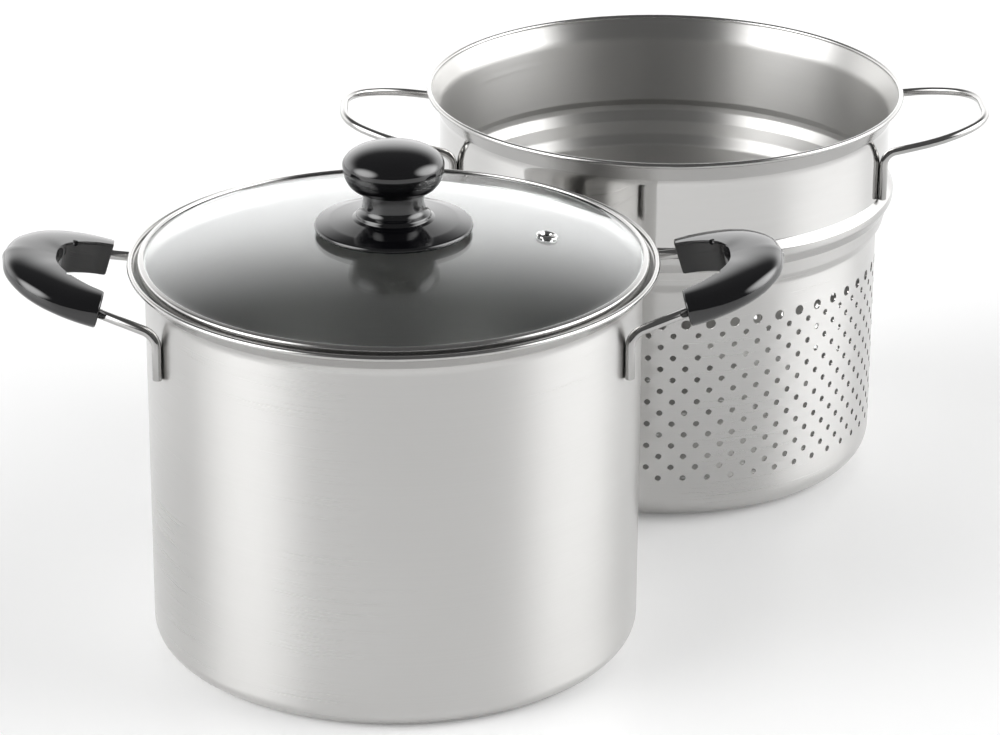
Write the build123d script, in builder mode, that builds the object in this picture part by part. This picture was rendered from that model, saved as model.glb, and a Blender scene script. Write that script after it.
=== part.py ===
from build123d import *
import os
from math import cos, pi, radians, sin, tan

# Pasta pot with a glass lid and a perforated strainer insert, all lengths in millimetres.
# The origin is the centre of the pot's base, and +X runs along the pot's two side handles.
# Round forms are rings of flat panels, each drawn from its profile and repeated about the axis,
# with one panel for each column of holes, and the bends in a profile are drawn in a few chords.
shell_sides = 56
knob_sides = 36
small_sides = 12

# Pot: a drawn stainless shell with a flared, rolled lip
pot_bore_r = 110.0
pot_wall = 0.8
pot_height = 179.2
pot_corner_r = 15.7
flare_drop = 8.6
flare_width = 5.8
bead_d = 2.6
bead_edge = 0.8
corner_chords = 3

# Lid: a shallow glass dome held in a folded steel rim
rim_inset = 1.6
rim_sheet = 0.5
rim_top_fold = 2.7
rim_bottom_fold = 4.4
glass_t = 3.6
glass_flat = 4.0
dome_rise = 11.6
dome_chords = 3
lid_gap = 0.3
glass_gap = 0.1
centre_hole_r = 5.0

# Knob: one moulded piece with a wide heat guard, a waist and a domed head
guard_r = 35.6
guard_edge = 2.4
guard_bevel = 1.2
guard_undercut = 0.9
guard_seat_r = 13.0
waist_r = 14.6
waist_foot_r = 19.0
head_r = 23.0
knob_foot_h = 6.0
knob_waist_h = 13.4
knob_belly_h = 27.6
knob_height = 40.6
waist_shares = [(1, 0), (0.36, 0.3), (0, 1)]
belly_shares = [(0.5, 0.22), (0.82, 0.52), (0.97, 0.82), (1, 1)]
crown_shares = [(0.96, 0.34), (0.82, 0.64), (0.56, 0.87), (0.24, 1)]

# Knob fixing: a threaded insert, a screw from below with a broad head, and a seal
insert_flats = 9.0
insert_length = 12.0
screw_shank_r = 2.0
screw_head_r = 7.0
screw_head_h = 2.2
screw_reach = 9.0
seal_r = 10.0
seal_t = 1.5
fit_gap = 0.1

# Steam vent: an eyelet through the glass
vent_reach = 68.0
vent_bore_r = 2.2
vent_sleeve_r = 3.2
vent_flange_r = 5.0
vent_flange_t = 0.8

# Side handles of the pot: round rods welded to the wall, moulded grips over their ends
rod_r = 2.2
rod_sides = 8
weld_gap = 0.05
rod_spread = 24.0
rod_top_drop = 10.6
rod_upright = 21.0
rod_bend_r = 7.5
bend_chords = 2
grip_standoff = 10.3
grip_rise = 6.5
grip_tilt = 17.0
rod_in_grip = 18.0
grip_length = 47.0
grip_half_width = 42.6
grip_height = 15.6
grip_tip_height = 6.0
grip_flat_length = 22.0
grip_mouth_half = 29.0
grip_throat_depth = 23.5
grip_bore_share = 0.52
grip_outer_shares = [(0, 0.985), (0.18, 1), (0.38, 0.97), (0.6, 0.86), (0.79, 0.67), (0.94, 0.38), (1, 0.13)]
grip_throat_shares = [(0, 1), (0.6, 0.74), (0.88, 0.47), (1, 0.2)]
pin_r = 1.5
pin_sides = 8
pin_at = 13.0
pin_recess = 2.5

# Strainer: a drawn insert with a smooth band above and a perforated body below, standing free
stand_gap = 13.05
stand_angle = 57.87
strainer_height = 188.9
strainer_wall = 0.7
body_gap = 3.1
body_corner_r = 14.0
taper_height = 20.5
seat_overhang = 4.0
seat_drop = 4.5
band_overhang = 1.0
band_height = 34.3
strainer_flare_drop = 10.6
strainer_flare_width = 4.1

# Perforations: one row of large holes above staggered rows of small ones, and rings in the floor
large_hole_r = 2.5
small_hole_r = 1.6
wall_hole_sides = 4
top_row_drop = 15.2
low_row_rise = 9.8
row_pitch = 10.0
floor_ring_r = 30.0
floor_ring_count = 8
floor_rings = 2
cut_overrun = 2.0

# Loop handles of the strainer: each bent from one length of bare rod
loop_rod_r = 2.0
loop_spread = 22.5
loop_foot_rise = 0.5
loop_upright = 23.5
loop_bend_r = 6.5
loop_tilt = 10.0
loop_shoulder_out = 25.0
loop_shoulder_half = 37.5
loop_out = 47.6
loop_tip_half = 19.5
loop_shoulder_r = 42.0
loop_tip_r = 19.0
loop_chords = 3

# Sizes worked out from the ones above
pot_wall_r = pot_bore_r + pot_wall
flare_z = pot_height - flare_drop
lip_bore_r = pot_bore_r + flare_width
lip_r = lip_bore_r + bead_d
rim_r = lip_bore_r - rim_inset
rim_height = glass_t + 2 * (rim_sheet + glass_gap)
body_r = pot_bore_r - body_gap
seat_r = pot_bore_r + seat_overhang
band_r = pot_bore_r + band_overhang
strainer_lip_r = band_r + strainer_flare_width + bead_d
strainer_flare_z = strainer_height - strainer_flare_drop
band_z = strainer_flare_z - band_height
seat_z = band_z - seat_drop
taper_z = seat_z - taper_height
half_side = 180 / shell_sides
half_knob_side = 180 / knob_sides


def panel(profile, sides):
    """One flat panel of a many-sided ring, drawn from its profile and cut to its share of the circle."""
    reach = max(r for r, z in profile)
    low_z = min(z for r, z in profile)
    high_z = max(z for r, z in profile)
    half_width = reach * tan(pi / sides)
    with BuildPart() as piece:
        with BuildSketch(Plane.XZ):
            with BuildLine():
                Polyline(*profile, close=True)
            make_face()
        extrude(amount=half_width, both=True)
        with BuildSketch(Plane.XY.offset(low_z)):
            with BuildLine():
                Polyline((0, 0), (reach, half_width), (reach, -half_width), close=True)
            make_face()
        extrude(amount=high_z - low_z, mode=Mode.INTERSECT)
    return piece.part


def corner_rings(wall_r, corner_r, low_z, inner=0.0):
    """Points of the rounding between a floor and a wall, from the floor up."""
    radius = corner_r - inner
    angles = [pi / 2 * step / corner_chords for step in range(corner_chords + 1)]
    return [
        (wall_r - corner_r + radius * sin(a), low_z + radius * (1 - cos(a)))
        for a in angles
    ]


def shell_profile(wall_r, corner_r, wall, side, edge_r, height):
    """Section of a drawn shell from the edge of its floor to its rolled lip, and back inside."""
    lip = [
        (edge_r - bead_edge, height - bead_d),
        (edge_r, height - bead_d + bead_edge),
        (edge_r, height - bead_edge),
        (edge_r - bead_edge, height),
        (edge_r - bead_d, height - bead_edge),
    ]
    inside = corner_rings(wall_r, corner_r, wall, wall)
    inside += [(r - wall, z) for r, z in side]
    return corner_rings(wall_r, corner_r, 0) + side + lip + inside[::-1]


def bent_route(points, radii, chords=bend_chords):
    """Centre line of a bent rod, each inner point rounded by a few chords."""
    route = [Vector(points[0])]
    for index, radius in enumerate(radii, start=1):
        corner = Vector(points[index])
        before = (Vector(points[index - 1]) - corner).normalized()
        after = (Vector(points[index + 1]) - corner).normalized()
        half = radians(before.get_angle(after)) / 2
        middle = corner + (before + after).normalized() * (radius / sin(half))
        start = corner + before * (radius / tan(half)) - middle
        across = (start.cross(after).cross(start)).normalized() * radius
        if across.dot(after) < 0:
            across = across * -1
        turn = pi - 2 * half
        for step in range(chords + 1):
            a = turn * step / chords
            route.append(middle + start * cos(a) + across * sin(a))
    return route + [Vector(points[-1])]


os.makedirs("parts", exist_ok=True)

# Pot body
pot_panel = panel(
    shell_profile(pot_wall_r, pot_corner_r, pot_wall, [(pot_wall_r, flare_z)], lip_r, pot_height),
    shell_sides,
)
with BuildPart() as pot_body:
    with PolarLocations(0, shell_sides):
        add(pot_panel)
    with BuildSketch():
        RegularPolygon(pot_wall_r - pot_corner_r, shell_sides, major_radius=False, rotation=half_side)
    extrude(amount=pot_wall)
pot_body.part.label = "pot_body"
export_step(pot_body.part, "parts/pot_body.step")

# Lid rim: a steel strip folded over and under the edge of the glass
flare_slope = (flare_drop - bead_edge) / (lip_bore_r - pot_bore_r)
rim_foot_z = flare_z + (rim_r - pot_bore_r) * flare_slope + lid_gap
rim_top_z = rim_foot_z + rim_height
rim_panel = panel(
    [
        (rim_r - rim_bottom_fold, rim_foot_z),
        (rim_r, rim_foot_z),
        (rim_r, rim_top_z),
        (rim_r - rim_top_fold, rim_top_z),
        (rim_r - rim_top_fold, rim_top_z - rim_sheet),
        (rim_r - rim_sheet, rim_top_z - rim_sheet),
        (rim_r - rim_sheet, rim_foot_z + rim_sheet),
        (rim_r - rim_bottom_fold, rim_foot_z + rim_sheet),
    ],
    shell_sides,
)
with BuildPart() as lid_rim:
    with PolarLocations(0, shell_sides):
        add(rim_panel)
lid_rim.part.label = "lid_rim"
export_step(lid_rim.part, "parts/lid_rim.step")

# Lid glass: a shallow dome with a thick edge, drilled for the knob's screw and the vent
glass_r = rim_r - rim_sheet - glass_gap
flat_r = glass_r - glass_flat
glass_foot_z = rim_foot_z + rim_sheet + glass_gap
glass_rim_z = rim_top_z - rim_sheet - glass_gap
crown_z = glass_rim_z + dome_rise
crown_flat_r = guard_r - guard_edge
dome_top = []
for step in range(dome_chords + 1):
    inward_share = step / dome_chords
    dome_top.append(
        (
            flat_r + (crown_flat_r - flat_r) * inward_share,
            glass_rim_z + dome_rise * (1 - (1 - inward_share) ** 2),
        )
    )
dome_under = [(r, z - glass_t) for r, z in dome_top]
glass_panel = panel(
    [(glass_r, glass_foot_z), (glass_r, glass_rim_z)] + dome_top + dome_under[::-1],
    shell_sides,
)
vent_step = int((flat_r - vent_reach) / (flat_r - crown_flat_r) * dome_chords)
lower, upper = dome_top[vent_step], dome_top[vent_step + 1]
vent_fall = (upper[1] - lower[1]) / (lower[0] - upper[0])
vent_z = lower[1] + (lower[0] - vent_reach) * vent_fall
with BuildPart() as lid_glass:
    with PolarLocations(0, shell_sides):
        add(glass_panel)
    with BuildSketch(Plane.XY.offset(crown_z - glass_t)):
        RegularPolygon(crown_flat_r, shell_sides, major_radius=False, rotation=half_side)
    extrude(amount=glass_t)
    with BuildSketch(Plane.XY.offset(crown_z - glass_t - cut_overrun)):
        RegularPolygon(centre_hole_r, small_sides)
    extrude(amount=glass_t + 2 * cut_overrun, mode=Mode.SUBTRACT)
    with BuildSketch(Plane((vent_reach, 0, vent_z - glass_t - cut_overrun))):
        RegularPolygon(vent_sleeve_r + fit_gap, small_sides, major_radius=False)
    extrude(amount=glass_t + 2 * cut_overrun, mode=Mode.SUBTRACT)
lid_glass.part.label = "lid_glass"
export_step(lid_glass.part, "parts/lid_glass.step")

# Vent eyelet: a sleeve with a flange above and below the glass
vent_lift = vent_flange_r * vent_fall + fit_gap
vent_low_z = vent_z - glass_t - vent_lift - vent_flange_t
vent_high_z = vent_z + vent_lift
vent_steps = [
    (vent_flange_r, vent_low_z, vent_flange_t),
    (vent_sleeve_r, vent_low_z, vent_high_z - vent_low_z),
    (vent_flange_r, vent_high_z, vent_flange_t),
]
with BuildPart() as vent_eyelet:
    for step_r, step_z, step_height in vent_steps:
        with BuildSketch(Plane((vent_reach, 0, step_z))):
            RegularPolygon(step_r, small_sides, major_radius=False)
        extrude(amount=step_height)
    with BuildSketch(Plane((vent_reach, 0, vent_low_z))):
        RegularPolygon(vent_bore_r, small_sides, major_radius=False)
    extrude(amount=vent_high_z + vent_flange_t - vent_low_z, mode=Mode.SUBTRACT)
vent_eyelet.part.label = "vent_eyelet"
export_step(vent_eyelet.part, "parts/vent_eyelet.step")

# Knob
knob_z = crown_z + fit_gap
guard_low_z = knob_z + guard_undercut
guard_top_z = guard_low_z + guard_edge
waist_z = knob_z + knob_waist_h
foot_z = knob_z + knob_foot_h
belly_z = knob_z + knob_belly_h
knob_top_z = knob_z + knob_height
knob_profile = [
    (guard_r - guard_bevel, guard_low_z),
    (guard_r, guard_low_z + guard_edge / 2),
    (guard_r - guard_bevel, guard_top_z),
]
for spans, low_r, high_r, low_z, high_z in (
    (waist_shares, waist_r, waist_foot_r, foot_z, waist_z),
    (belly_shares, waist_r, head_r, waist_z, belly_z),
    (crown_shares, 0, head_r, belly_z, knob_top_z),
):
    for across_share, up_share in spans:
        knob_profile.append((low_r + (high_r - low_r) * across_share, low_z + (high_z - low_z) * up_share))
knob_core_r = knob_profile[-1][0]
knob_profile += [(knob_core_r, knob_z), (guard_seat_r, knob_z), (guard_seat_r, guard_low_z)]
knob_panel = panel(knob_profile, knob_sides)
with BuildPart() as knob:
    with PolarLocations(0, knob_sides):
        add(knob_panel)
    with BuildSketch(Plane.XY.offset(knob_z)):
        RegularPolygon(knob_core_r, knob_sides, major_radius=False, rotation=half_knob_side)
    extrude(amount=knob_height)
    with BuildSketch(Plane.XY.offset(knob_z)):
        RegularPolygon(insert_flats / 2 + fit_gap, 6, major_radius=False)
    extrude(amount=insert_length, mode=Mode.SUBTRACT)
knob.part.label = "knob"
export_step(knob.part, "parts/knob.step")

# Knob insert: a hexagonal nut moulded into the knob
with BuildPart() as knob_insert:
    with BuildSketch(Plane.XY.offset(knob_z + fit_gap)):
        RegularPolygon(insert_flats / 2, 6, major_radius=False)
        RegularPolygon(screw_shank_r + fit_gap, small_sides, major_radius=False, mode=Mode.SUBTRACT)
    extrude(amount=insert_length - 2 * fit_gap)
knob_insert.part.label = "knob_insert"
export_step(knob_insert.part, "parts/knob_insert.step")

# Seal: a soft washer between the glass and the screw's head
seal_top_z = crown_z - glass_t - fit_gap
with BuildPart() as lid_seal:
    with BuildSketch(Plane.XY.offset(seal_top_z - seal_t)):
        RegularPolygon(seal_r, small_sides)
        RegularPolygon(screw_shank_r + fit_gap, small_sides, major_radius=False, mode=Mode.SUBTRACT)
    extrude(amount=seal_t)
lid_seal.part.label = "lid_seal"
export_step(lid_seal.part, "parts/lid_seal.step")

# Knob screw
screw_top_z = seal_top_z - seal_t - fit_gap
with BuildPart() as knob_screw:
    with BuildSketch(Plane.XY.offset(screw_top_z - screw_head_h)):
        RegularPolygon(screw_head_r, small_sides)
    extrude(amount=screw_head_h)
    with BuildSketch(Plane.XY.offset(screw_top_z)):
        RegularPolygon(screw_shank_r, small_sides)
    extrude(amount=knob_z + screw_reach - screw_top_z)
knob_screw.part.label = "knob_screw"
export_step(knob_screw.part, "parts/knob_screw.step")

# Side handles of the pot
tilt_out = cos(radians(grip_tilt))
tilt_up = sin(radians(grip_tilt))
rod_weld_r = pot_wall_r + weld_gap + rod_r
foot_x = rod_weld_r * cos(radians(rod_spread))
foot_y = rod_weld_r * sin(radians(rod_spread))
rod_rise_z = flare_z - rod_top_drop
rod_foot_z = rod_rise_z - rod_upright
grip_reach = lip_r + grip_standoff
grip_z = rod_rise_z + grip_rise
grip_rod_half = grip_mouth_half + (grip_half_width - grip_mouth_half) * grip_bore_share
grip_top = grip_height / 2
pin_height = grip_top - pin_recess - rod_r - fit_gap
outer_points = [(u * grip_length, v * grip_half_width) for u, v in grip_outer_shares]
throat_points = [(u * grip_throat_depth, v * grip_mouth_half) for u, v in grip_throat_shares]
half_outline = outer_points[::-1] + throat_points
mirrored_outline = [(u, -v) for u, v in reversed(half_outline)]
for side, name in ((-1, "left"), (1, "right")):
    mouth = (side * grip_reach, 0, grip_z)
    outward = (side * tilt_out, 0, tilt_up)
    grip_plane = Plane(mouth, x_dir=outward, z_dir=(-side * tilt_up, 0, tilt_out))
    flank_plane = Plane(mouth, x_dir=outward, z_dir=(0, -side, 0))
    pins = []
    bore_planes = []
    pin_planes = []
    for hand, place in ((-1, "front"), (1, "rear")):
        # A rod, welded upright to the wall and bent outwards into the grip's arm
        elbow = Vector(side * foot_x, hand * foot_y, rod_rise_z)
        entry = Vector(side * grip_reach, hand * grip_rod_half, grip_z)
        inward = (entry - elbow).normalized()
        rod_end = entry + inward * rod_in_grip
        foot = Vector(elbow.X, elbow.Y, rod_foot_z)
        with BuildPart() as rod:
            with BuildLine():
                Polyline(*bent_route([foot, elbow, rod_end], [rod_bend_r]))
            with BuildSketch(Plane(foot)):
                RegularPolygon(rod_r, rod_sides)
            sweep(transition=Transition.RIGHT)
        rod.part.label = name + "_" + place + "_rod"
        export_step(rod.part, "parts/" + name + "_" + place + "_rod.step")
        bore_planes.append(Plane(rod_end + inward * fit_gap, z_dir=inward * -1))

        # A short pin, driven down onto the rod from the top of the arm
        pin_planes.append(Plane(entry + inward * pin_at, z_dir=grip_plane.z_dir))
        with BuildPart() as pin:
            with BuildSketch(pin_planes[-1].offset(rod_r + fit_gap)):
                RegularPolygon(pin_r, pin_sides)
            extrude(amount=pin_height)
        pins.append(pin.part.solid())
    pin_pair = Compound(label=name + "_grip_pins", children=pins)
    export_step(pin_pair, "parts/" + name + "_grip_pins.step")

    # A horseshoe grip, thick at its arms and thinner at its tip
    with BuildPart() as grip:
        with BuildSketch(grip_plane.offset(-grip_top)):
            with BuildLine():
                Polyline(*half_outline, *mirrored_outline, close=True)
            make_face()
        extrude(amount=grip_height)
        with BuildSketch(flank_plane):
            with BuildLine():
                Polyline(
                    (0, -grip_top),
                    (0, grip_top),
                    (grip_flat_length, grip_top),
                    (grip_length + cut_overrun, grip_tip_height / 2),
                    (grip_length + cut_overrun, -grip_tip_height / 2),
                    (grip_flat_length, -grip_top),
                    close=True,
                )
            make_face()
        extrude(amount=grip_half_width + cut_overrun, both=True, mode=Mode.INTERSECT)
        for bore_plane in bore_planes:
            with BuildSketch(bore_plane):
                RegularPolygon(rod_r + fit_gap, rod_sides, major_radius=False)
            extrude(amount=rod_in_grip + grip_top, mode=Mode.SUBTRACT)
        for pin_plane in pin_planes:
            with BuildSketch(pin_plane):
                RegularPolygon(pin_r + fit_gap, pin_sides, major_radius=False)
            extrude(amount=grip_height, mode=Mode.SUBTRACT)
    grip.part.label = name + "_grip"
    export_step(grip.part, "parts/" + name + "_grip.step")

# Strainer body: the seat is the swelling that rests in the pot's flare
stand_distance = lip_r + strainer_lip_r + stand_gap
strainer_centre = Vector(cos(radians(stand_angle)), sin(radians(stand_angle)), 0) * stand_distance
strainer_side = [
    (body_r, taper_z),
    (seat_r, seat_z),
    (band_r, band_z),
    (band_r, strainer_flare_z),
]
strainer_panel = panel(
    shell_profile(body_r, body_corner_r, strainer_wall, strainer_side, strainer_lip_r, strainer_height),
    shell_sides,
)

# Two kinds of panel take turns: one starts with a large hole, the other lies half a step lower
top_row_z = taper_z - top_row_drop
small_rows = round((top_row_z - body_corner_r - low_row_rise) / row_pitch)
punched_panels = []
for first_row in (2, 1):
    with BuildPart() as punched:
        add(strainer_panel)
        with BuildSketch(Plane.YZ.offset(body_r - strainer_wall - cut_overrun)):
            with Locations(*[(0, top_row_z - row * row_pitch) for row in range(first_row, small_rows + 1, 2)]):
                RegularPolygon(small_hole_r, wall_hole_sides)
            if first_row == 2:
                with Locations((0, top_row_z)):
                    RegularPolygon(large_hole_r, wall_hole_sides)
        extrude(amount=strainer_wall + 2 * cut_overrun, mode=Mode.SUBTRACT)
    punched_panels.append(punched.part)
with BuildPart() as strainer_body:
    for turn, punched_panel in enumerate(punched_panels):
        with Locations(strainer_centre):
            with PolarLocations(0, shell_sides // 2, start_angle=turn * 2 * half_side):
                add(punched_panel)
    with BuildSketch(Plane(strainer_centre)):
        RegularPolygon(body_r - body_corner_r, shell_sides, major_radius=False, rotation=half_side)
        for ring in range(1, floor_rings + 1):
            with PolarLocations(ring * floor_ring_r, ring * floor_ring_count):
                RegularPolygon(small_hole_r, wall_hole_sides, mode=Mode.SUBTRACT)
    extrude(amount=strainer_wall)
strainer_body.part.label = "strainer_body"
export_step(strainer_body.part, "parts/strainer_body.step")

# Loop handles of the strainer
loop_weld_r = band_r + weld_gap + loop_rod_r
loop_x = loop_weld_r * cos(radians(loop_spread))
loop_y = loop_weld_r * sin(radians(loop_spread))
loop_foot_z = band_z + loop_foot_rise
loop_rise_z = loop_foot_z + loop_upright
loop_shoulder_reach = band_r + loop_shoulder_out
loop_reach = band_r + loop_out


def loop_point(side, reach, half):
    """A point of the loop's sloping part, out from the strainer's axis."""
    climb = (reach - loop_x) * tan(radians(loop_tilt))
    return strainer_centre + Vector(side * reach, half, loop_rise_z + climb)


for side, name in ((-1, "left"), (1, "right")):
    loop_places = [
        strainer_centre + Vector(side * loop_x, -loop_y, loop_foot_z),
        loop_point(side, loop_x, -loop_y),
        loop_point(side, loop_shoulder_reach, -loop_shoulder_half),
        loop_point(side, loop_reach, -loop_tip_half),
        loop_point(side, loop_reach, loop_tip_half),
        loop_point(side, loop_shoulder_reach, loop_shoulder_half),
        loop_point(side, loop_x, loop_y),
        strainer_centre + Vector(side * loop_x, loop_y, loop_foot_z),
    ]
    loop_radii = [loop_bend_r, loop_shoulder_r, loop_tip_r]
    with BuildPart() as loop:
        with BuildLine():
            Polyline(*bent_route(loop_places, loop_radii + loop_radii[::-1], loop_chords))
        with BuildSketch(Plane(loop_places[0])):
            RegularPolygon(loop_rod_r, rod_sides)
        sweep(transition=Transition.RIGHT)
    loop.part.label = "strainer_" + name + "_loop"
    export_step(loop.part, "parts/strainer_" + name + "_loop.step")
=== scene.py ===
from math import atan2, cos, pi, radians, sin, sqrt, tan

import bmesh
import bpy
from mathutils import Matrix, Vector
from mathutils.geometry import delaunay_2d_cdt


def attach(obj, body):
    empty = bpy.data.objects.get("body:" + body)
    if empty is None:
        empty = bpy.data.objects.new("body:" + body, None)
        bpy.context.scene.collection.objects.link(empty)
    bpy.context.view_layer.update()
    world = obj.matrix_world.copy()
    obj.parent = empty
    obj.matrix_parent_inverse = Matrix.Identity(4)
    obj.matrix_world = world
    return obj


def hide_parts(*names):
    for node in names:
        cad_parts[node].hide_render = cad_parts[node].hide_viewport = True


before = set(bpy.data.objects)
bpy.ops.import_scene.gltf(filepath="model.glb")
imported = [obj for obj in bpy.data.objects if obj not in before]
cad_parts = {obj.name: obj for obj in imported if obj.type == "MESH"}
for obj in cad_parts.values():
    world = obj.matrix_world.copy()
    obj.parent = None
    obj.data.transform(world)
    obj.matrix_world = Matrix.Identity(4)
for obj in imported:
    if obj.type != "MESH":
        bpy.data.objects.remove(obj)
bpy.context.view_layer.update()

# Camera at the photograph's viewing angle
view_data = bpy.data.cameras.new("view")
view_data.lens = 140.1
view_data.sensor_width = 36
view_data.clip_end = 50
view = bpy.data.objects.new("view", view_data)
bpy.context.scene.collection.objects.link(view)
view.matrix_world = (
    Matrix.Translation((0.01355, -1.6177, 0.796))
    @ Matrix.Rotation(radians(-1.2), 4, "Z")
    @ Matrix.Rotation(radians(67.49), 4, "X")
    @ Matrix.Rotation(radians(0.31), 4, "Z")
)
bpy.context.scene.camera = view

# Pieces are written in millimetres and scaled to metres as they are made
MM = 0.001

# Sizes that several pieces share
ROUND = 256  # sides of the pot and the lid
BEAD_R = 1.3  # rolled edge of both lips
BEAD_ARC = (-70, 175, 14)  # its start, end and steps
POT_R = 110.8
RIM_FOOT = 176.55
GLASS_EDGE = 180.69
CROWN = 192.35
KNOB_FOOT = 192.45
STRAINER = Vector((132.5, 211.0, 0.0))


# Mesh helpers
def add_mesh(
    name, points, faces, body, materials,
    centre=(0, 0, 0), smooth_angle=32, kinds=None,
):
    """A mesh piece from points in millimetres about centre; kinds are its faces' materials."""
    mesh = bpy.data.meshes.new(name)
    origin = Vector(centre)
    mesh.from_pydata([(Vector(p) + origin) * MM for p in points], [], faces)
    mesh.validate()
    for material in materials:
        mesh.materials.append(material)
    if kinds and len(kinds) == len(mesh.polygons):
        for polygon, kind in zip(mesh.polygons, kinds):
            polygon.material_index = kind
    mesh.polygons.foreach_set("use_smooth", [True] * len(mesh.polygons))
    mesh.set_sharp_from_angle(angle=radians(smooth_angle))
    mesh.update()
    work = bmesh.new()
    work.from_mesh(mesh)
    bmesh.ops.recalc_face_normals(work, faces=work.faces)
    work.to_mesh(mesh)
    work.free()
    piece = bpy.data.objects.new(name, mesh)
    bpy.context.scene.collection.objects.link(piece)
    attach(piece, body)
    return piece


def subtract(piece, points, faces, centre, turning=Matrix.Identity(3)):
    """Cut a closed form, in millimetres about centre, out of a piece."""
    mesh = bpy.data.meshes.new("cutter")
    mesh.from_pydata([(turning @ Vector(p) + Vector(centre)) * MM for p in points], [], faces)
    cutter = bpy.data.objects.new("cutter", mesh)
    bpy.context.scene.collection.objects.link(cutter)
    cut = piece.modifiers.new("cut", "BOOLEAN")
    cut.object = cutter
    cut.operation = "DIFFERENCE"
    cut.solver = "EXACT"
    shown = piece.evaluated_get(bpy.context.evaluated_depsgraph_get())
    result = bpy.data.meshes.new_from_object(shown)
    piece.modifiers.clear()
    piece.data = result
    bpy.data.objects.remove(cutter)


def bowl(cx, cz, rx, rz, start, end, steps, power=2.0):
    """Points of a superellipse's arc, angles in degrees."""
    points = []
    for i in range(steps + 1):
        angle = radians(start + (end - start) * i / steps)
        c, s = cos(angle), sin(angle)
        points.append((
            cx + rx * abs(c) ** (2 / power) * (1 if c >= 0 else -1),
            cz + rz * abs(s) ** (2 / power) * (1 if s >= 0 else -1),
        ))
    return points


def arc(cx, cz, radius, start, end, steps):
    """Points of a circle's arc, angles in degrees."""
    return bowl(cx, cz, radius, radius, start, end, steps)


def rounded(corners, step, fewest):
    """A polyline whose corners (point, radius) become arcs of about step degrees a side."""
    route = []
    for i, (point, radius) in enumerate(corners):
        here = Vector(point)
        if radius <= 0 or i in (0, len(corners) - 1):
            route.append(here)
            continue
        back = Vector(corners[i - 1][0]) - here
        on = Vector(corners[i + 1][0]) - here
        turn = pi - back.angle(on)
        if turn < 0.01:
            route.append(here)
            continue
        # Each arc takes less than half of the sides that it joins
        run = min(radius * tan(turn / 2), back.length * 0.49, on.length * 0.49)
        radius = run / tan(turn / 2)
        back.normalize()
        on.normalize()
        middle = here + (back + on).normalized() * (radius / cos(turn / 2))
        first = here + back * run - middle
        final = here + on * run - middle
        steps = max(fewest, int(turn / radians(step)) + 1)
        for k in range(steps + 1):
            a = sin((1 - k / steps) * turn) / sin(turn)
            b = sin(k / steps * turn) / sin(turn)
            route.append(middle + first * a + final * b)
    return route


def soften(corners):
    """A flat section with its corners (r, z, radius) rounded."""
    return [tuple(p) for p in rounded([((r, z), radius) for r, z, radius in corners], 5, 2)]


def turned(profile, columns, kinds=None, closed=True):
    """Points, faces and face kinds of a profile (r, z) turned about Z; it closes where r is 0."""
    points = []
    rings = []
    for r, z in profile:
        if r < 1e-6:
            rings.append([len(points)] * columns)
            points.append((0, 0, z))
        else:
            rings.append(list(range(len(points), len(points) + columns)))
            points += [
                (r * cos(2 * pi * c / columns), r * sin(2 * pi * c / columns), z)
                for c in range(columns)
            ]
    faces = []
    face_kinds = []
    count = len(profile)
    for k in range(count if closed else count - 1):
        low, high = rings[k], rings[(k + 1) % count]
        if low[0] == low[1] and high[0] == high[1]:
            continue
        for c in range(columns):
            d = (c + 1) % columns
            quad = [low[c], low[d], high[d], high[c]]
            faces.append([v for j, v in enumerate(quad) if v != quad[j - 1]])
            face_kinds.append(kinds[k] if kinds else 0)
    return points, faces, face_kinds


def skin(rings):
    """Points and faces of a closed form through rings of as many points each."""
    count = len(rings[0])
    points = [p for ring in rings for p in ring]
    faces = []
    for start in range(0, len(points) - count, count):
        for j in range(count):
            m = (j + 1) % count
            faces.append([start + j, start + m, start + count + m, start + count + j])
    faces.append(list(reversed(range(count))))
    faces.append(list(range(len(points) - count, len(points))))
    return points, faces


def tube(corners, radius, sides=24, chamfer=0.25):
    """A round rod along corners (point, bend radius), with chamfered flat ends."""
    route = rounded(corners, 3, 3)
    across = (route[1] - route[0]).normalized().orthogonal().normalized()
    stations = []
    for before, here, after in zip(route[:1] + route, route, route[1:] + route[-1:]):
        way = ((after - here).normalized() + (here - before).normalized()).normalized()
        across = (across - way * across.dot(way)).normalized()
        stations.append((here, way, across, radius))
    start, way, across, _ = stations[0]
    first = [(start, way, across, radius - chamfer), (start + way * chamfer, way, across, radius)]
    finish, way, across, _ = stations[-1]
    last = [(finish - way * chamfer, way, across, radius), (finish, way, across, radius - chamfer)]
    rings = []
    for here, way, across, r in first + stations[1:-1] + last:
        other = way.cross(across)
        rings.append([
            here + (across * cos(2 * pi * s / sides) + other * sin(2 * pi * s / sides)) * r
            for s in range(sides)
        ])
    return skin(rings)


# Materials
def new_material(name):
    material = bpy.data.materials.new(name)
    material.use_nodes = True
    nodes = material.node_tree.nodes
    return material, nodes, material.node_tree.links, nodes["Principled BSDF"]


def grain(nodes, links, scale, detail=3.0):
    """Noise in object coordinates, stretched by a scale for each axis."""
    place = nodes.new("ShaderNodeTexCoord")
    stretch = nodes.new("ShaderNodeMapping")
    stretch.inputs["Scale"].default_value = scale
    links.new(place.outputs["Object"], stretch.inputs["Vector"])
    noise = nodes.new("ShaderNodeTexNoise")
    noise.inputs["Scale"].default_value = 1.0
    noise.inputs["Detail"].default_value = detail
    noise.inputs["Roughness"].default_value = 0.55
    links.new(stretch.outputs["Vector"], noise.inputs["Vector"])
    return noise.outputs["Fac"]


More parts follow.
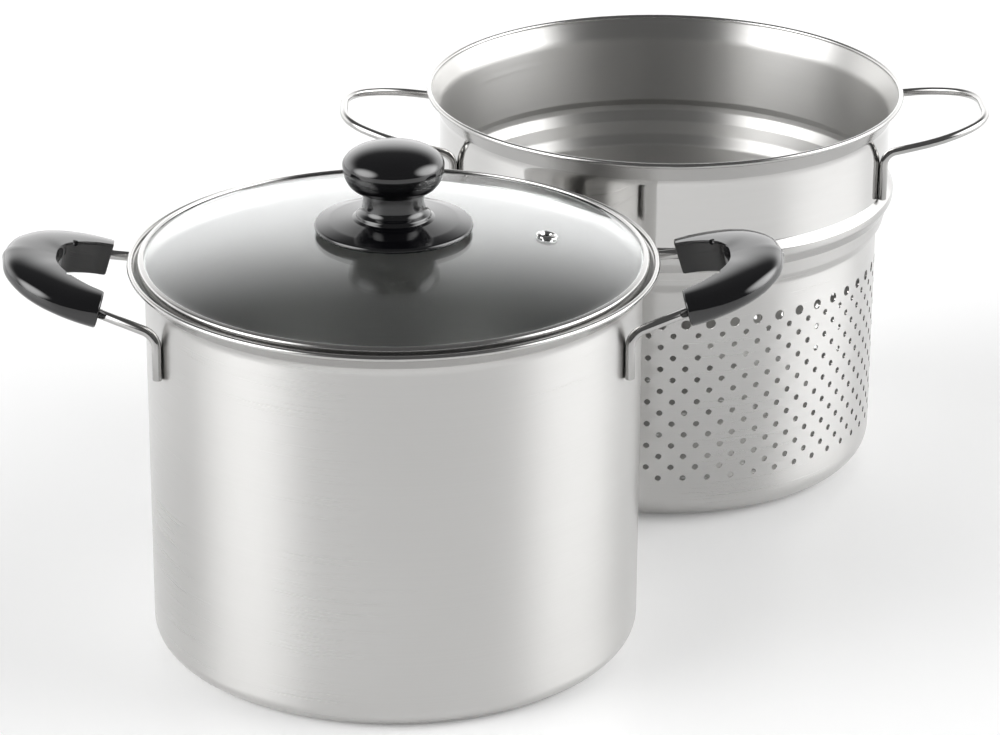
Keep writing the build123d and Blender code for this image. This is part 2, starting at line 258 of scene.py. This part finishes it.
def spread(nodes, links, source, low, high):
    """A number that varies between low and high with the noise."""
    ranger = nodes.new("ShaderNodeMapRange")
    ranger.inputs["From Min"].default_value = 0.3
    ranger.inputs["From Max"].default_value = 0.7
    ranger.inputs["To Min"].default_value = low
    ranger.inputs["To Max"].default_value = high
    links.new(source, ranger.inputs["Value"])
    return ranger.outputs["Result"]


def tint(nodes, links, shader, factor, low, high):
    """Base colour that varies between low and high."""
    mix = nodes.new("ShaderNodeMix")
    mix.data_type = "RGBA"
    mix.inputs["A"].default_value = (*low, 1)
    mix.inputs["B"].default_value = (*high, 1)
    links.new(factor, mix.inputs["Factor"])
    links.new(mix.outputs["Result"], shader.inputs["Base Color"])


def relief(nodes, links, shader, height, strength, distance):
    """Bump of a height in metres."""
    bump = nodes.new("ShaderNodeBump")
    bump.inputs["Strength"].default_value = strength
    bump.inputs["Distance"].default_value = distance
    links.new(height, bump.inputs["Height"])
    links.new(bump.outputs["Normal"], shader.inputs["Normal"])


def steel(name, colour, roughness, lift, scale, anisotropy):
    """Steel with a fine grain: its colour, roughness range, bump strength and grain scale."""
    material, nodes, links, shader = new_material(name)
    fine = grain(nodes, links, scale)
    wide = grain(nodes, links, (9, 9, 6), 2.0)
    darker = [c * 0.975 for c in colour]
    tint(nodes, links, shader, spread(nodes, links, fine, 0, 1), darker, colour)
    both = nodes.new("ShaderNodeMath")
    both.operation = "ADD"
    links.new(spread(nodes, links, fine, *roughness), both.inputs[0])
    links.new(spread(nodes, links, wide, -0.015, 0.015), both.inputs[1])
    links.new(both.outputs["Value"], shader.inputs["Roughness"])
    relief(nodes, links, shader, fine, lift, 0.0002)
    shader.inputs["Metallic"].default_value = 1.0
    shader.inputs["Anisotropic"].default_value = anisotropy
    if anisotropy > 0:
        # Brushed round the axis, so that lights stretch into upright bands
        tangent = nodes.new("ShaderNodeTangent")
        tangent.direction_type = "RADIAL"
        tangent.axis = "Z"
        links.new(tangent.outputs["Tangent"], shader.inputs["Tangent"])
        shader.inputs["Anisotropic Rotation"].default_value = 0.25
    return material


def glossy_black(name):
    """Moulded black phenolic plastic with faint flow marks."""
    material, nodes, links, shader = new_material(name)
    flow = grain(nodes, links, (60, 60, 60), 4.0)
    tint(nodes, links, shader, flow, (0.0015, 0.0015, 0.002), (0.004, 0.004, 0.005))
    links.new(spread(nodes, links, flow, 0.07, 0.11), shader.inputs["Roughness"])
    relief(nodes, links, shader, flow, 0.03, 0.0003)
    shader.inputs["IOR"].default_value = 1.7
    return material


def clear_glass(name):
    """Clear tempered glass with a faint haze."""
    material, nodes, links, shader = new_material(name)
    haze = grain(nodes, links, (30, 30, 30), 2.0)
    links.new(spread(nodes, links, haze, 0.0, 0.004), shader.inputs["Roughness"])
    tint(nodes, links, shader, haze, (0.93, 0.955, 0.95), (0.95, 0.97, 0.965))
    shader.inputs["Transmission Weight"].default_value = 1.0
    shader.inputs["IOR"].default_value = 1.6
    return material


def plain(name, low, high, roughness, metallic=0.0):
    """A small hidden part's material, with a slight variation."""
    material, nodes, links, shader = new_material(name)
    cloud = grain(nodes, links, (200, 200, 200))
    tint(nodes, links, shader, cloud, low, high)
    rough = spread(nodes, links, cloud, roughness - 0.06, roughness + 0.06)
    links.new(rough, shader.inputs["Roughness"])
    shader.inputs["Metallic"].default_value = metallic
    return material


satin = steel("satin_steel", (0.575, 0.57, 0.56), (0.275, 0.31), 0.01, (5, 5, 2600), 0.8)
satin_inside = steel(
    "satin_steel_inside", (0.58, 0.575, 0.563), (0.35, 0.43), 0.02, (4, 4, 2400), 0.8,
)
# Rolled lips, lid rim and strainer ledge: a less brushed, glossier finish, and a colour darker than
# the wall's as painted shade, so these edges read grey rather than white
lip_steel_painted_darker = steel("brushed_lip_painted_darker", (0.5, 0.495, 0.487), (0.17, 0.25), 0.01, (5, 5, 1500), 0.5)
# Inside of the pot: its own satin finish, and a colour lighter than the outside's as painted light,
# brightening the inside seen through the glass
pot_inside_painted_light = steel(
    "satin_steel_pot_inside", (0.68, 0.675, 0.665), (0.36, 0.4), 0.005, (5, 5, 1200), 0.6,
)
polished = steel("polished_steel", (0.6, 0.595, 0.585), (0.05, 0.09), 0.008, (40, 40, 300), 0.0)
wire = steel("polished_rod", (0.46, 0.455, 0.448), (0.07, 0.12), 0.02, (300, 300, 60), 0.0)
black = glossy_black("black_plastic")
glass = clear_glass("clear_glass")
brass = plain("brass_insert", (0.55, 0.4, 0.17), (0.66, 0.49, 0.22), 0.34, 1.0)
silicone = plain("silicone_seal", (0.62, 0.62, 0.6), (0.7, 0.7, 0.68), 0.6)

# Hidden solids keep their shapes
for node, material in (
    ("knob_insert", brass), ("lid_seal", silicone), ("knob_screw", wire),
    ("left_grip_pins", wire), ("right_grip_pins", wire),
):
    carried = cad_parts[node]
    carried.data.materials.clear()
    carried.data.materials.append(material)

# Pot: one closed section, from the middle of the base out and up, round the lip and back inside
POT_WALL = 0.8
POT_HEIGHT = 179.2
POT_LIP_R = 118.4
BASE_LIFT = 0.5
CORNER_R = 15.7
FLARE_FOOT = 169.6
FLARE_BEND = 8
FLARE_R, FLARE_TOP = 116.3, 176.6

outer = soften([
    (0, BASE_LIFT, 0), (POT_R * 0.62, BASE_LIFT, 30), (POT_R - CORNER_R - 2, 0, 30),
    (POT_R, 0, CORNER_R), (POT_R, FLARE_FOOT, FLARE_BEND), (FLARE_R, FLARE_TOP, 0),
])
bead = arc(POT_LIP_R - BEAD_R, POT_HEIGHT - BEAD_R, BEAD_R, *BEAD_ARC)
inner = soften([
    (POT_LIP_R - 2 * BEAD_R + 0.15, POT_HEIGHT - BEAD_R - 0.6, 0),
    (FLARE_R - POT_WALL * 1.1, FLARE_TOP + POT_WALL * 0.5, 3),
    (POT_R - POT_WALL, FLARE_FOOT, FLARE_BEND),
    (POT_R - POT_WALL, POT_WALL, CORNER_R - POT_WALL),
    (0, POT_WALL + BASE_LIFT, 0),
])
profile = outer + bead + inner
# Kinds: outside 0, lip 1 and inside 2; the lip takes in the last of the flare on both sides
kinds = [0] * (len(outer) - 3) + [1] * (len(bead) + 5)
kinds += [2] * (len(profile) - len(kinds))
points, faces, face_kinds = turned(profile, ROUND, kinds, closed=False)
pot = add_mesh(
    "pot_shell", points, faces, "pot",
    [satin, lip_steel_painted_darker, pot_inside_painted_light], kinds=face_kinds,
)
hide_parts("pot_body")

# Lid: a folded steel rim round the glass
RIM_OUTER_R, RIM_INNER_R, FOLD_R = 113.7, 109.8, 113.1

rim_section = soften([
    (RIM_INNER_R, RIM_FOOT + 0.55, 0), (RIM_INNER_R, RIM_FOOT, 0.2), (RIM_OUTER_R, RIM_FOOT, 0.6),
    (RIM_OUTER_R, RIM_FOOT + 4.3, 1.3), (111.2, RIM_FOOT + 4.75, 0.35), (110.9, RIM_FOOT + 4.1, 0),
])
rim_section += [(FOLD_R, RIM_FOOT + 3.6), (FOLD_R, RIM_FOOT + 0.6)]
points, faces, _ = turned(rim_section, ROUND)
rim = add_mesh("lid_rim_band", points, faces, "lid", [lip_steel_painted_darker], smooth_angle=40)
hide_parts("lid_rim")

GLASS_R = 112.9
GLASS_WALL = 3.6
GLASS_FOOT = 177.15
DOME_R = 109.6  # where the dome begins, inside the flat edge
FLAT_R = 13.0  # where it ends, under the knob
HOLE_R = 5.0  # for the knob's screw
RINGS = 34


def dome(r):
    """Height of the glass's upper face."""
    share = min(1, max(0, (DOME_R - r) / (DOME_R - FLAT_R)))
    return GLASS_EDGE + (CROWN - GLASS_EDGE) * (1 - (1 - share) ** 2)


radii = [HOLE_R, 9, FLAT_R, 18] + [18 + (DOME_R - 18) * k / RINGS for k in range(1, RINGS + 1)]
upper = [(r, dome(r)) for r in radii]
edge = [
    (GLASS_R - 0.2, GLASS_EDGE - 0.1), (GLASS_R, GLASS_EDGE - 0.5),
    (GLASS_R, GLASS_FOOT + 0.35), (GLASS_R - 0.3, GLASS_FOOT + 0.05), (DOME_R, GLASS_FOOT),
]
lower = [(r, z - GLASS_WALL) for r, z in reversed(upper)][1:]
points, faces, _ = turned(upper + edge + lower, ROUND)
pane = add_mesh("lid_pane", points, faces, "lid", [glass], smooth_angle=40)
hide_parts("lid_glass")

# Steam vent: a rolled eyelet through a hole in the glass, square to the dome
VENT_X = 68.0
VENT_HOLE_R = 3.25
EYELET_R, EYELET_BORE_R = 3.2, 2.3

vent = (VENT_X, 0, dome(VENT_X))
tip = Matrix.Rotation(atan2(dome(VENT_X - 1) - dome(VENT_X + 1), 2), 3, "Y")
drill = [(0, -9), (VENT_HOLE_R, -9), (VENT_HOLE_R, 6), (0, 6)]
points, faces, _ = turned(drill, 48, closed=False)
subtract(pane, points, faces, vent, tip)
vent_section = soften([
    (EYELET_BORE_R, -4.6, 0), (4.6, -4.7, 0.3), (4.8, -3.75, 0.3), (EYELET_R, -3.7, 0),
    (EYELET_R, 0.08, 0), (5.0, 0.1, 0.1), (4.7, 0.75, 0.6), (3.4, 1.15, 0.5), (2.9, 0.7, 0.3),
    (EYELET_BORE_R, -0.2, 0.3), (EYELET_BORE_R, -1.5, 0),
])
points, faces, _ = turned(vent_section, 48)
eyelet = add_mesh(
    "vent_ring", [tip @ Vector(p) for p in points], faces, "lid",
    [polished], centre=vent, smooth_angle=40,
)
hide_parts("vent_eyelet")

# Knob: bore for the insert, heat guard, collar, waist and domed head in one profile
BORE_R, BORE_TOP, KNOB_SEAT = 5.5, 12.0, 0.02

knob_section = [(0, BORE_TOP), (BORE_R, BORE_TOP), (BORE_R, KNOB_SEAT), (FLAT_R, KNOB_SEAT)]
knob_section += soften([
    (13.4, 0.3, 0), (31.0, 0.6, 6), (35.4, 0.9, 1.0), (35.2, 2.9, 1.3), (29.0, 4.25, 14),
    (18.4, 5.5, 0.8), (16.9, 6.2, 0.6), (16.5, 7.6, 1.4), (14.2, 9.5, 4.0), (13.7, 13.0, 0),
])
knob_section += bowl(12.9, 29.2, 9.6, 11.2, -86, -10, 18, 2.05)
knob_section += bowl(0, 29.6, 22.7, 9.8, 4, 90, 26, 2.1)
knob_section[-1] = (0, knob_section[-1][1])
points, faces, _ = turned(knob_section, 160, closed=False)
knob = add_mesh(
    "lid_knob", points, faces, "lid",
    [black], centre=(0, 0, KNOB_FOOT), smooth_angle=42,
)
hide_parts("knob")

# Pot handles: horseshoe grips, tilted up and outwards, on bent rods
TILT = radians(17)
GRIP_X, GRIP_Z = 128.7, 166.5
GRIP_STEPS = 44  # stations of one arm
GRIP_SIDES = 30  # sides of the outer half of a section
# Stations from an arm's end to the tip: share, inner u and v, outer u and v, half height
GRIP_STATIONS = [
    (0.00, 0.0, 29.0, 0.0, 42.0, 7.8),
    (0.22, 7.0, 26.2, 8.5, 42.6, 7.8),
    (0.42, 14.0, 21.6, 18.0, 41.2, 7.8),
    (0.58, 19.0, 16.6, 28.0, 36.8, 7.8),
    (0.72, 22.0, 11.0, 37.0, 28.8, 7.7),
    (0.86, 23.3, 5.5, 44.2, 16.0, 7.4),
    (1.00, 23.5, 0.0, 46.9, 0.0, 7.3),
]
# Side towards the fingers, as shares of the section's width and half height
FINGER_SIDE = [
    (0.022, -0.975), (0.006, -0.9), (0.0, -0.78), (0.0, 0),
    (0.0, 0.72), (0.012, 0.86), (0.035, 0.955),
]
# Rings that round an arm's end over: how far each shrinks, and how far it lies beyond the end
END_ROUND = [(1.0, 0.0), (0.45, 0.12), (0.12, 0.45), (0.0, 1.0)]
PIN_SHARE = 0.5  # where on the arm a pin's dimple lies
PIN_R = 1.5
ROD_R = 2.2
ROD_AT = radians(24)  # a rod's place on the wall, from the X axis
ROD_FOOT = 139.0
ROD_RISE = 160.0
ROD_BEND = 7.5
ROD_ENTRY_Y = 36.07
ROD_IN_GRIP = 17.9


def grip_point(side, u, v, w):
    """A point of a grip: u outwards, v along Y, w up from its middle plane."""
    x = GRIP_X + u * cos(TILT) - w * sin(TILT)
    return Vector((side * x, v, GRIP_Z + u * sin(TILT) + w * cos(TILT)))


def spline(knots, share):
    """Smooth interpolation through knots (share, value, ...)."""
    last = len(knots) - 1
    k = next((k for k in range(last) if share <= knots[k + 1][0]), last - 1)
    before, a, b, after = knots[max(k - 1, 0)], knots[k], knots[k + 1], knots[min(k + 2, last)]
    span = b[0] - a[0]
    t = min(1, max(0, (share - a[0]) / span))
    values = []
    for c in range(1, len(a)):
        slope_a = (b[c] - before[c]) / (b[0] - before[0])
        slope_b = (after[c] - a[c]) / (after[0] - a[0])
        values.append(
            (2 * t ** 3 - 3 * t ** 2 + 1) * a[c]
            + (t ** 3 - 2 * t ** 2 + t) * span * slope_a
            + (-2 * t ** 3 + 3 * t ** 2) * b[c]
            + (t ** 3 - t ** 2) * span * slope_b
        )
    return values


def grip_mesh(side):
    """A horseshoe grip: D-shaped sections, flat towards the fingers and round outside."""
    out_way = Vector((side * cos(TILT), 0, sin(TILT)))

    def end(ring):
        """Rings of an arm's rounded end, from the innermost to the arm."""
        middle = sum(ring, Vector()) / len(ring)
        rings = []
        for shrink, push in END_ROUND:
            moved = []
            for p in ring:
                inward = middle - p
                inward -= out_way * inward.dot(out_way)
                moved.append(p + inward.normalized() * shrink + out_way * push)
            rings.append(moved)
        return rings

    walk = [(k / GRIP_STEPS, 1) for k in range(GRIP_STEPS + 1)]
    walk += [(share, -1) for share, _ in reversed(walk[:-1])]
    rings = []
    for share, hand in walk:
        inner_u, inner_v, outer_u, outer_v, half = spline(GRIP_STATIONS, share)
        section = bowl(0.03, 0, 0.97, half, 90, -90, GRIP_SIDES, 2.5)
        section += [(t, w * half) for t, w in FINGER_SIDE]
        ring = []
        for t, w in section:
            at = Vector((inner_u, inner_v * hand)).lerp(Vector((outer_u, outer_v * hand)), t)
            ring.append(grip_point(side, at.x, at.y, w))
        rings.append(ring)
    return skin(end(rings[0]) + rings[1:-1] + end(rings[-1])[::-1])


rod_centre = POT_R + ROD_R + 0.02
rod_x = rod_centre * cos(ROD_AT)
rod_y = rod_centre * sin(ROD_AT)
for side, name in ((-1, "left"), (1, "right")):
    points, faces = grip_mesh(side)
    grip = add_mesh(
        name + "_horseshoe", points, faces, "pot", [black], smooth_angle=38,
    )
    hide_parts(name + "_grip")
    inner_u, inner_v, _, _, half = spline(GRIP_STATIONS, PIN_SHARE)
    for hand in (-1, 1):
        at = grip_point(side, inner_u + 0.4, (inner_v + 0.5) * hand, half - 0.6)
        points, faces, _ = turned(arc(0, 0, PIN_R, -90, 90, 12), 20, closed=False)
        subtract(grip, points, faces, at)
    for hand, place in ((-1, "front"), (1, "rear")):
        foot = Vector((side * rod_x, hand * rod_y, ROD_FOOT))
        elbow = Vector((side * rod_x, hand * rod_y, ROD_RISE))
        entry = Vector((side * GRIP_X, hand * ROD_ENTRY_Y, GRIP_Z))
        tail = entry + (entry - elbow).normalized() * ROD_IN_GRIP
        points, faces = tube([(foot, 0), (elbow, ROD_BEND), (tail, 0)], ROD_R)
        rod = add_mesh(
            name + "_" + place + "_bent_rod", points, faces, "pot",
            [wire], smooth_angle=50,
        )
        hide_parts(name + "_" + place + "_rod")

# Strainer insert: perforated wall and floor, a band and a ledge above them, and a rolled lip
COLUMNS = 224
HOLES = 56  # in a row, one for every 4 columns
HOLE_SIDES = 16
HOLE_STEP = 360 / HOLE_SIDES
SMALL_HOLE_R = 1.5
LARGE_HOLE_R = 2.5  # in the top row
ROWS = 15
ROW_PITCH = 5.71
TOP_ROW = 103.8
SIEVE_TOP = TOP_ROW + 3.6
SIEVE_R = 106.9
SIEVE_WALL = 0.7
SIEVE_CORNER = 14.0
FLOOR_PITCH = 10.4
FLOOR_SPAN = 12  # holes of the pattern on each side of the middle, more than the floor takes
FLOOR_MARGIN = 6
LEDGE_R = 114.5
BAND_R = 111.5
BAND_TOP = 177.4
STRAINER_HEIGHT = 188.9
STRAINER_LIP_R = 117.68
WALL_SIDES = (("out", SIEVE_R), ("in", SIEVE_R - SIEVE_WALL))
# Kinds of its faces, in the order of its materials, and the heights where they change
OUTSIDE, BRIGHT, INSIDE, LIP = range(4)
# From LEDGE_FROM to LEDGE_TO and above FLARE_FROM the faces take the lip steel, painted darker as
# shade
LEDGE_FROM, LEDGE_TO, FLARE_FROM = 133, 146, 179


def strainer_mesh():
    """Points, faces and face kinds of the perforated insert."""
    points = []
    faces = []
    kinds = []

    def on_wall(radius, angle, z):
        points.append((radius * cos(angle), radius * sin(angle), z))
        return len(points) - 1

    def add_ring(r, z):
        return [on_wall(r, 2 * pi * c / COLUMNS, z) for c in range(COLUMNS)]

    def add_face(face, kind):
        faces.append(face)
        kinds.append(kind)

    def join(low, high, kind):
        for c in range(COLUMNS):
            d = (c + 1) % COLUMNS
            add_face([low[c], low[d], high[d], high[c]], kind)

    # Rows of holes from the lowest up, and the borders between them
    rows = [TOP_ROW - ROW_PITCH * k for k in range(ROWS)][::-1]
    borders = [rows[0] - ROW_PITCH / 2]
    borders += [(a + b) / 2 for a, b in zip(rows, rows[1:])] + [SIEVE_TOP]
    walls = {key: [add_ring(radius, z) for z in borders] for key, radius in WALL_SIDES}
    for index, z in enumerate(rows):
        from_top = ROWS - 1 - index
        hole_r = LARGE_HOLE_R if from_top == 0 else SMALL_HOLE_R
        shift = 2 if from_top % 2 == 0 else 0
        low_z, high_z = borders[index], borders[index + 1]
        # Points on the upright borders between two holes
        sides = {}
        for key, radius in WALL_SIDES:
            for h in range(HOLES):
                column = (4 * h + shift + 2) % COLUMNS
                sides[key, column] = [
                    on_wall(radius, 2 * pi * column / COLUMNS, low_z + (high_z - low_z) * part)
                    for part in (0.25, 0.5, 0.75)
                ]
        for h in range(HOLES):
            middle = 4 * h + shift
            m0, m1, m2, m3, m4 = [(middle + k) % COLUMNS for k in (-2, -1, 0, 1, 2)]
            rings = {}
            for key, radius in WALL_SIDES:
                low, high = walls[key][index], walls[key][index + 1]
                border = [low[m4], *sides[key, m4], high[m4], high[m3], high[m2], high[m1]]
                border += [high[m0], *reversed(sides[key, m0]), low[m0], low[m1], low[m2], low[m3]]
                ring = []
                for k in range(HOLE_SIDES):
                    a = radians(-45 + HOLE_STEP * k)
                    turn = 2 * pi * (middle % COLUMNS) / COLUMNS + hole_r * cos(a) / SIEVE_R
                    ring.append(on_wall(radius, turn, z + hole_r * sin(a)))
                for k in range(HOLE_SIDES):
                    m = (k + 1) % HOLE_SIDES
                    quad = [border[k], border[m], ring[m], ring[k]]
                    if key == "out":
                        add_face(quad, OUTSIDE)
                    else:
                        add_face(quad[::-1], INSIDE)
                rings[key] = ring
            for k in range(HOLE_SIDES):
                m = (k + 1) % HOLE_SIDES
                add_face([rings["out"][k], rings["out"][m], rings["in"][m], rings["in"][k]], BRIGHT)

    # Side above the holes, lip, and the inside down to the holes
    above = soften([
        (SIEVE_R, SIEVE_TOP, 0), (SIEVE_R, 120.4, 3.5), (110.2, 125.4, 5), (111.6, 132.2, 0.9),
        (LEDGE_R, 137.4, 3), (LEDGE_R, 141.0, 1.6), (BAND_R, 144.8, 1.2), (BAND_R, BAND_TOP, 10),
        (115.7, 186.3, 0),
    ])
    bead = arc(STRAINER_LIP_R - BEAD_R, STRAINER_HEIGHT - BEAD_R, BEAD_R, *BEAD_ARC)
    inside = soften([
        (115.25, 187.1, 0), (114.95, 186.3, 3), (BAND_R - SIEVE_WALL, BAND_TOP + 0.3, 10),
        (BAND_R - SIEVE_WALL, 144.4, 1.6), (LEDGE_R - 0.8, 140.7, 1.6), (LEDGE_R - 0.8, 137.7, 2.2),
        (110.9, 132.5, 1.4), (109.5, 125.8, 5), (SIEVE_R - SIEVE_WALL, 120.9, 3.5),
        (SIEVE_R - SIEVE_WALL, SIEVE_TOP, 0),
    ])
    last = walls["out"][-1]
    for index, (r, z) in enumerate(above[1:] + bead + inside[:-1]):
        ring = add_ring(r, z)
        if index >= len(above) - 1 + len(bead):
            kind = INSIDE
        elif index >= len(above) - 1 or LEDGE_FROM <= z < LEDGE_TO or z > FLARE_FROM:
            kind = LIP
        else:
            kind = OUTSIDE if z < LEDGE_FROM else BRIGHT
        join(last, ring, kind)
        last = ring
    join(last, walls["in"][-1], INSIDE)

    # Rounded corner below the holes, outside and inside
    floor_r = SIEVE_R - SIEVE_CORNER
    rims = {}
    for key, corner_r in (("out", SIEVE_CORNER), ("in", SIEVE_CORNER - SIEVE_WALL)):
        last = walls[key][0]
        for r, z in arc(floor_r, SIEVE_CORNER, corner_r, 0, -90, 12):
            ring = add_ring(r, z)
            if key == "out":
                join(ring, last, OUTSIDE)
            else:
                join(last, ring, INSIDE)
            last = ring
        rims[key] = last

    # Floor with a triangular pattern of holes, triangulated between its rim and the holes
    centres = []
    for i in range(-FLOOR_SPAN, FLOOR_SPAN + 1):
        for j in range(-FLOOR_SPAN, FLOOR_SPAN + 1):
            x = FLOOR_PITCH * (i + j / 2)
            y = FLOOR_PITCH * j * sqrt(3) / 2
            if x * x + y * y < (floor_r - FLOOR_MARGIN) ** 2:
                centres.append((x, y))
    flat = [
        Vector((floor_r * cos(2 * pi * c / COLUMNS), floor_r * sin(2 * pi * c / COLUMNS)))
        for c in range(COLUMNS)
    ]
    edges = [(c, (c + 1) % COLUMNS) for c in range(COLUMNS)]
    hole_edges = []
    for x, y in centres:
        start = len(flat)
        for k in range(HOLE_SIDES):
            a = radians(HOLE_STEP * k)
            flat.append(Vector((x + SMALL_HOLE_R * cos(a), y + SMALL_HOLE_R * sin(a))))
            hole_edges.append((start + k, start + (k + 1) % HOLE_SIDES))
    made = delaunay_2d_cdt(flat, edges + hole_edges, [], 0, 1e-6)
    spots, triangles, sources = made[0], made[2], made[3]
    keep = []
    for triangle in triangles:
        middle = sum((spots[v] for v in triangle), Vector((0, 0))) / 3
        if all((middle.x - x) ** 2 + (middle.y - y) ** 2 >= SMALL_HOLE_R ** 2 for x, y in centres):
            keep.append(triangle)
    floors = {}
    for key, z in (("out", 0.0), ("in", SIEVE_WALL)):
        ids = []
        for spot, source in zip(spots, sources):
            first = min(source, default=COLUMNS)
            if first < COLUMNS:
                ids.append(rims[key][first])
            else:
                ids.append(len(points))
                points.append((spot.x, spot.y, z))
        floors[key] = ids
        for triangle in keep:
            face = [ids[v] for v in triangle]
            if key == "out":
                add_face(face[::-1], OUTSIDE)
            else:
                add_face(face, INSIDE)
    where = {s: index for index, source in enumerate(sources) for s in source}
    for start, finish in hole_edges:
        a, b = where[start], where[finish]
        add_face([floors["out"][a], floors["out"][b], floors["in"][b], floors["in"][a]], BRIGHT)
    return points, faces, kinds


points, faces, face_kinds = strainer_mesh()
basket = add_mesh(
    "strainer_shell", points, faces, "strainer",
    [satin, polished, satin_inside, lip_steel_painted_darker],
    centre=STRAINER, kinds=face_kinds, smooth_angle=35,
)
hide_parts("strainer_body")

# Loop handles: each one rod, up from its weld, out, round and back
LOOP_R = 2.0
LOOP_FOOT = 144.5
LOOP_RISE = 168.0
LOOP_TILT = radians(10)
LOOP_AT = radians(22.5)  # an arm's place on the band, from the X axis
LOOP_BEND = 6.5
# Corners from an arm to the middle of the loop: reach, half width and bend radius
LOOP_CORNERS = [(136.0, 38.5, 58), (158.4, 20.5, 30)]

loop_x = (BAND_R + LOOP_R + 0.03) * cos(LOOP_AT)
loop_y = (BAND_R + LOOP_R + 0.03) * sin(LOOP_AT)
for side, name in ((-1, "left"), (1, "right")):
    arm = [((loop_x, loop_y, LOOP_FOOT), 0)]
    for reach, half, bend in [(loop_x, loop_y, LOOP_BEND)] + LOOP_CORNERS:
        arm.append(((reach, half, LOOP_RISE + (reach - loop_x) * tan(LOOP_TILT)), bend))
    corners = [
        (STRAINER + Vector((side * x, hand * y, z)), bend)
        for hand, half_loop in ((-1, arm), (1, arm[::-1]))
        for (x, y, z), bend in half_loop
    ]
    points, faces = tube(corners, LOOP_R)
    loop = add_mesh(
        "strainer_" + name + "_bent_loop", points, faces, "strainer",
        [wire], smooth_angle=50,
    )
    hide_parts("strainer_" + name + "_loop")

# Floor: pale, and a little brighter where it is seen directly, mirrored or through the glass
floor_mesh = bpy.data.meshes.new("floor")
floor_mesh.from_pydata([(-9, -6, 0), (9, -6, 0), (9, 9, 0), (-9, 9, 0)], [], [(0, 1, 2, 3)])
floor = bpy.data.objects.new("floor", floor_mesh)
bpy.context.scene.collection.objects.link(floor)
floor_material, nodes, links, shader = new_material("pale_floor")
shader.inputs["Base Color"].default_value = (0.92, 0.92, 0.92, 1)
shader.inputs["Roughness"].default_value = 0.4
shader.inputs["Emission Color"].default_value = (1, 1, 1, 1)


def number(nodes, links, operation, a, b):
    """The result of a sum, a product or the like of two values or sockets."""
    step = nodes.new("ShaderNodeMath")
    step.operation = operation
    for socket, value in zip(step.inputs, (a, b)):
        if isinstance(value, float):
            socket.default_value = value
        else:
            links.new(value, socket)
    return step.outputs["Value"]


path = nodes.new("ShaderNodeLightPath").outputs
seen = number(nodes, links, "MAXIMUM", path["Is Camera Ray"], path["Is Glossy Ray"])
seen = number(nodes, links, "MAXIMUM", seen, path["Is Transmission Ray"])
glow = number(nodes, links, "MULTIPLY", seen, 0.1)
links.new(glow, shader.inputs["Emission Strength"])
floor_mesh.materials.append(floor_material)

# World: the camera sees white. Reflections see a white sweep low behind the object, a dark room
# above and in front of it, and a soft light on each side.
world = bpy.data.worlds.new("studio")
bpy.context.scene.world = world
world.use_nodes = True
nodes, links = world.node_tree.nodes, world.node_tree.links
direction = nodes.new("ShaderNodeTexCoord").outputs["Generated"]
axes = nodes.new("ShaderNodeSeparateXYZ")
links.new(direction, axes.inputs["Vector"])


def background(strength):
    """A white background, its strength a value or a socket."""
    shade = nodes.new("ShaderNodeBackground")
    shade.inputs["Color"].default_value = (1, 1, 1, 1)
    if isinstance(strength, float):
        shade.inputs["Strength"].default_value = strength
    else:
        links.new(strength, shade.inputs["Strength"])
    return shade.outputs["Background"]


def mixed(factor, low, high):
    """One of two backgrounds for each kind of ray."""
    pick = nodes.new("ShaderNodeMixShader")
    links.new(factor, pick.inputs["Fac"])
    links.new(low, pick.inputs[1])
    links.new(high, pick.inputs[2])
    return pick.outputs["Shader"]


def ramp(source, low, high):
    """0 to 1 as source goes from low to high, smoothly."""
    ranger = nodes.new("ShaderNodeMapRange")
    ranger.interpolation_type = "SMOOTHSTEP"
    ranger.inputs["From Min"].default_value = low
    ranger.inputs["From Max"].default_value = high
    links.new(source, ranger.inputs["Value"])
    return ranger.outputs["Result"]


def patch(azimuth, elevation, inner, outer):
    """A soft round light, fading from inner to outer degrees; azimuth is from -Y towards +X."""
    way = nodes.new("ShaderNodeVectorMath")
    way.operation = "DOT_PRODUCT"
    level = cos(radians(elevation))
    way.inputs[1].default_value = (
        sin(radians(azimuth)) * level, -cos(radians(azimuth)) * level, sin(radians(elevation)),
    )
    links.new(direction, way.inputs[0])
    return ramp(way.outputs["Value"], cos(radians(outer)), cos(radians(inner)))


def total(base, *shares):
    """The base level plus each share's socket times its strength."""
    for socket, strength in shares:
        lit = number(nodes, links, "MULTIPLY", socket, strength)
        base = number(nodes, links, "ADD", lit, base)
    return base


low_down = ramp(axes.outputs["Z"], 0.66, 0.27)
rearward = ramp(axes.outputs["Y"], -0.1, 0.55)
behind = number(nodes, links, "MULTIPLY", low_down, rearward)
left_light = patch(-72, 24, 4, 34)
right_light = patch(91, 24, 4, 36)
mirrored = background(total(0.13, (behind, 1.85), (left_light, 5.3), (right_light, 5.3)))
fill = background(total(0.28, (behind, 0.5), (left_light, 5.5), (right_light, 1.0)))
path = nodes.new("ShaderNodeLightPath").outputs
lit = mixed(path["Is Diffuse Ray"], mirrored, fill)
surface = mixed(path["Is Camera Ray"], lit, background(1.0))
links.new(surface, nodes["World Output"].inputs["Surface"])

bpy.context.scene.view_settings.view_transform = "Standard"
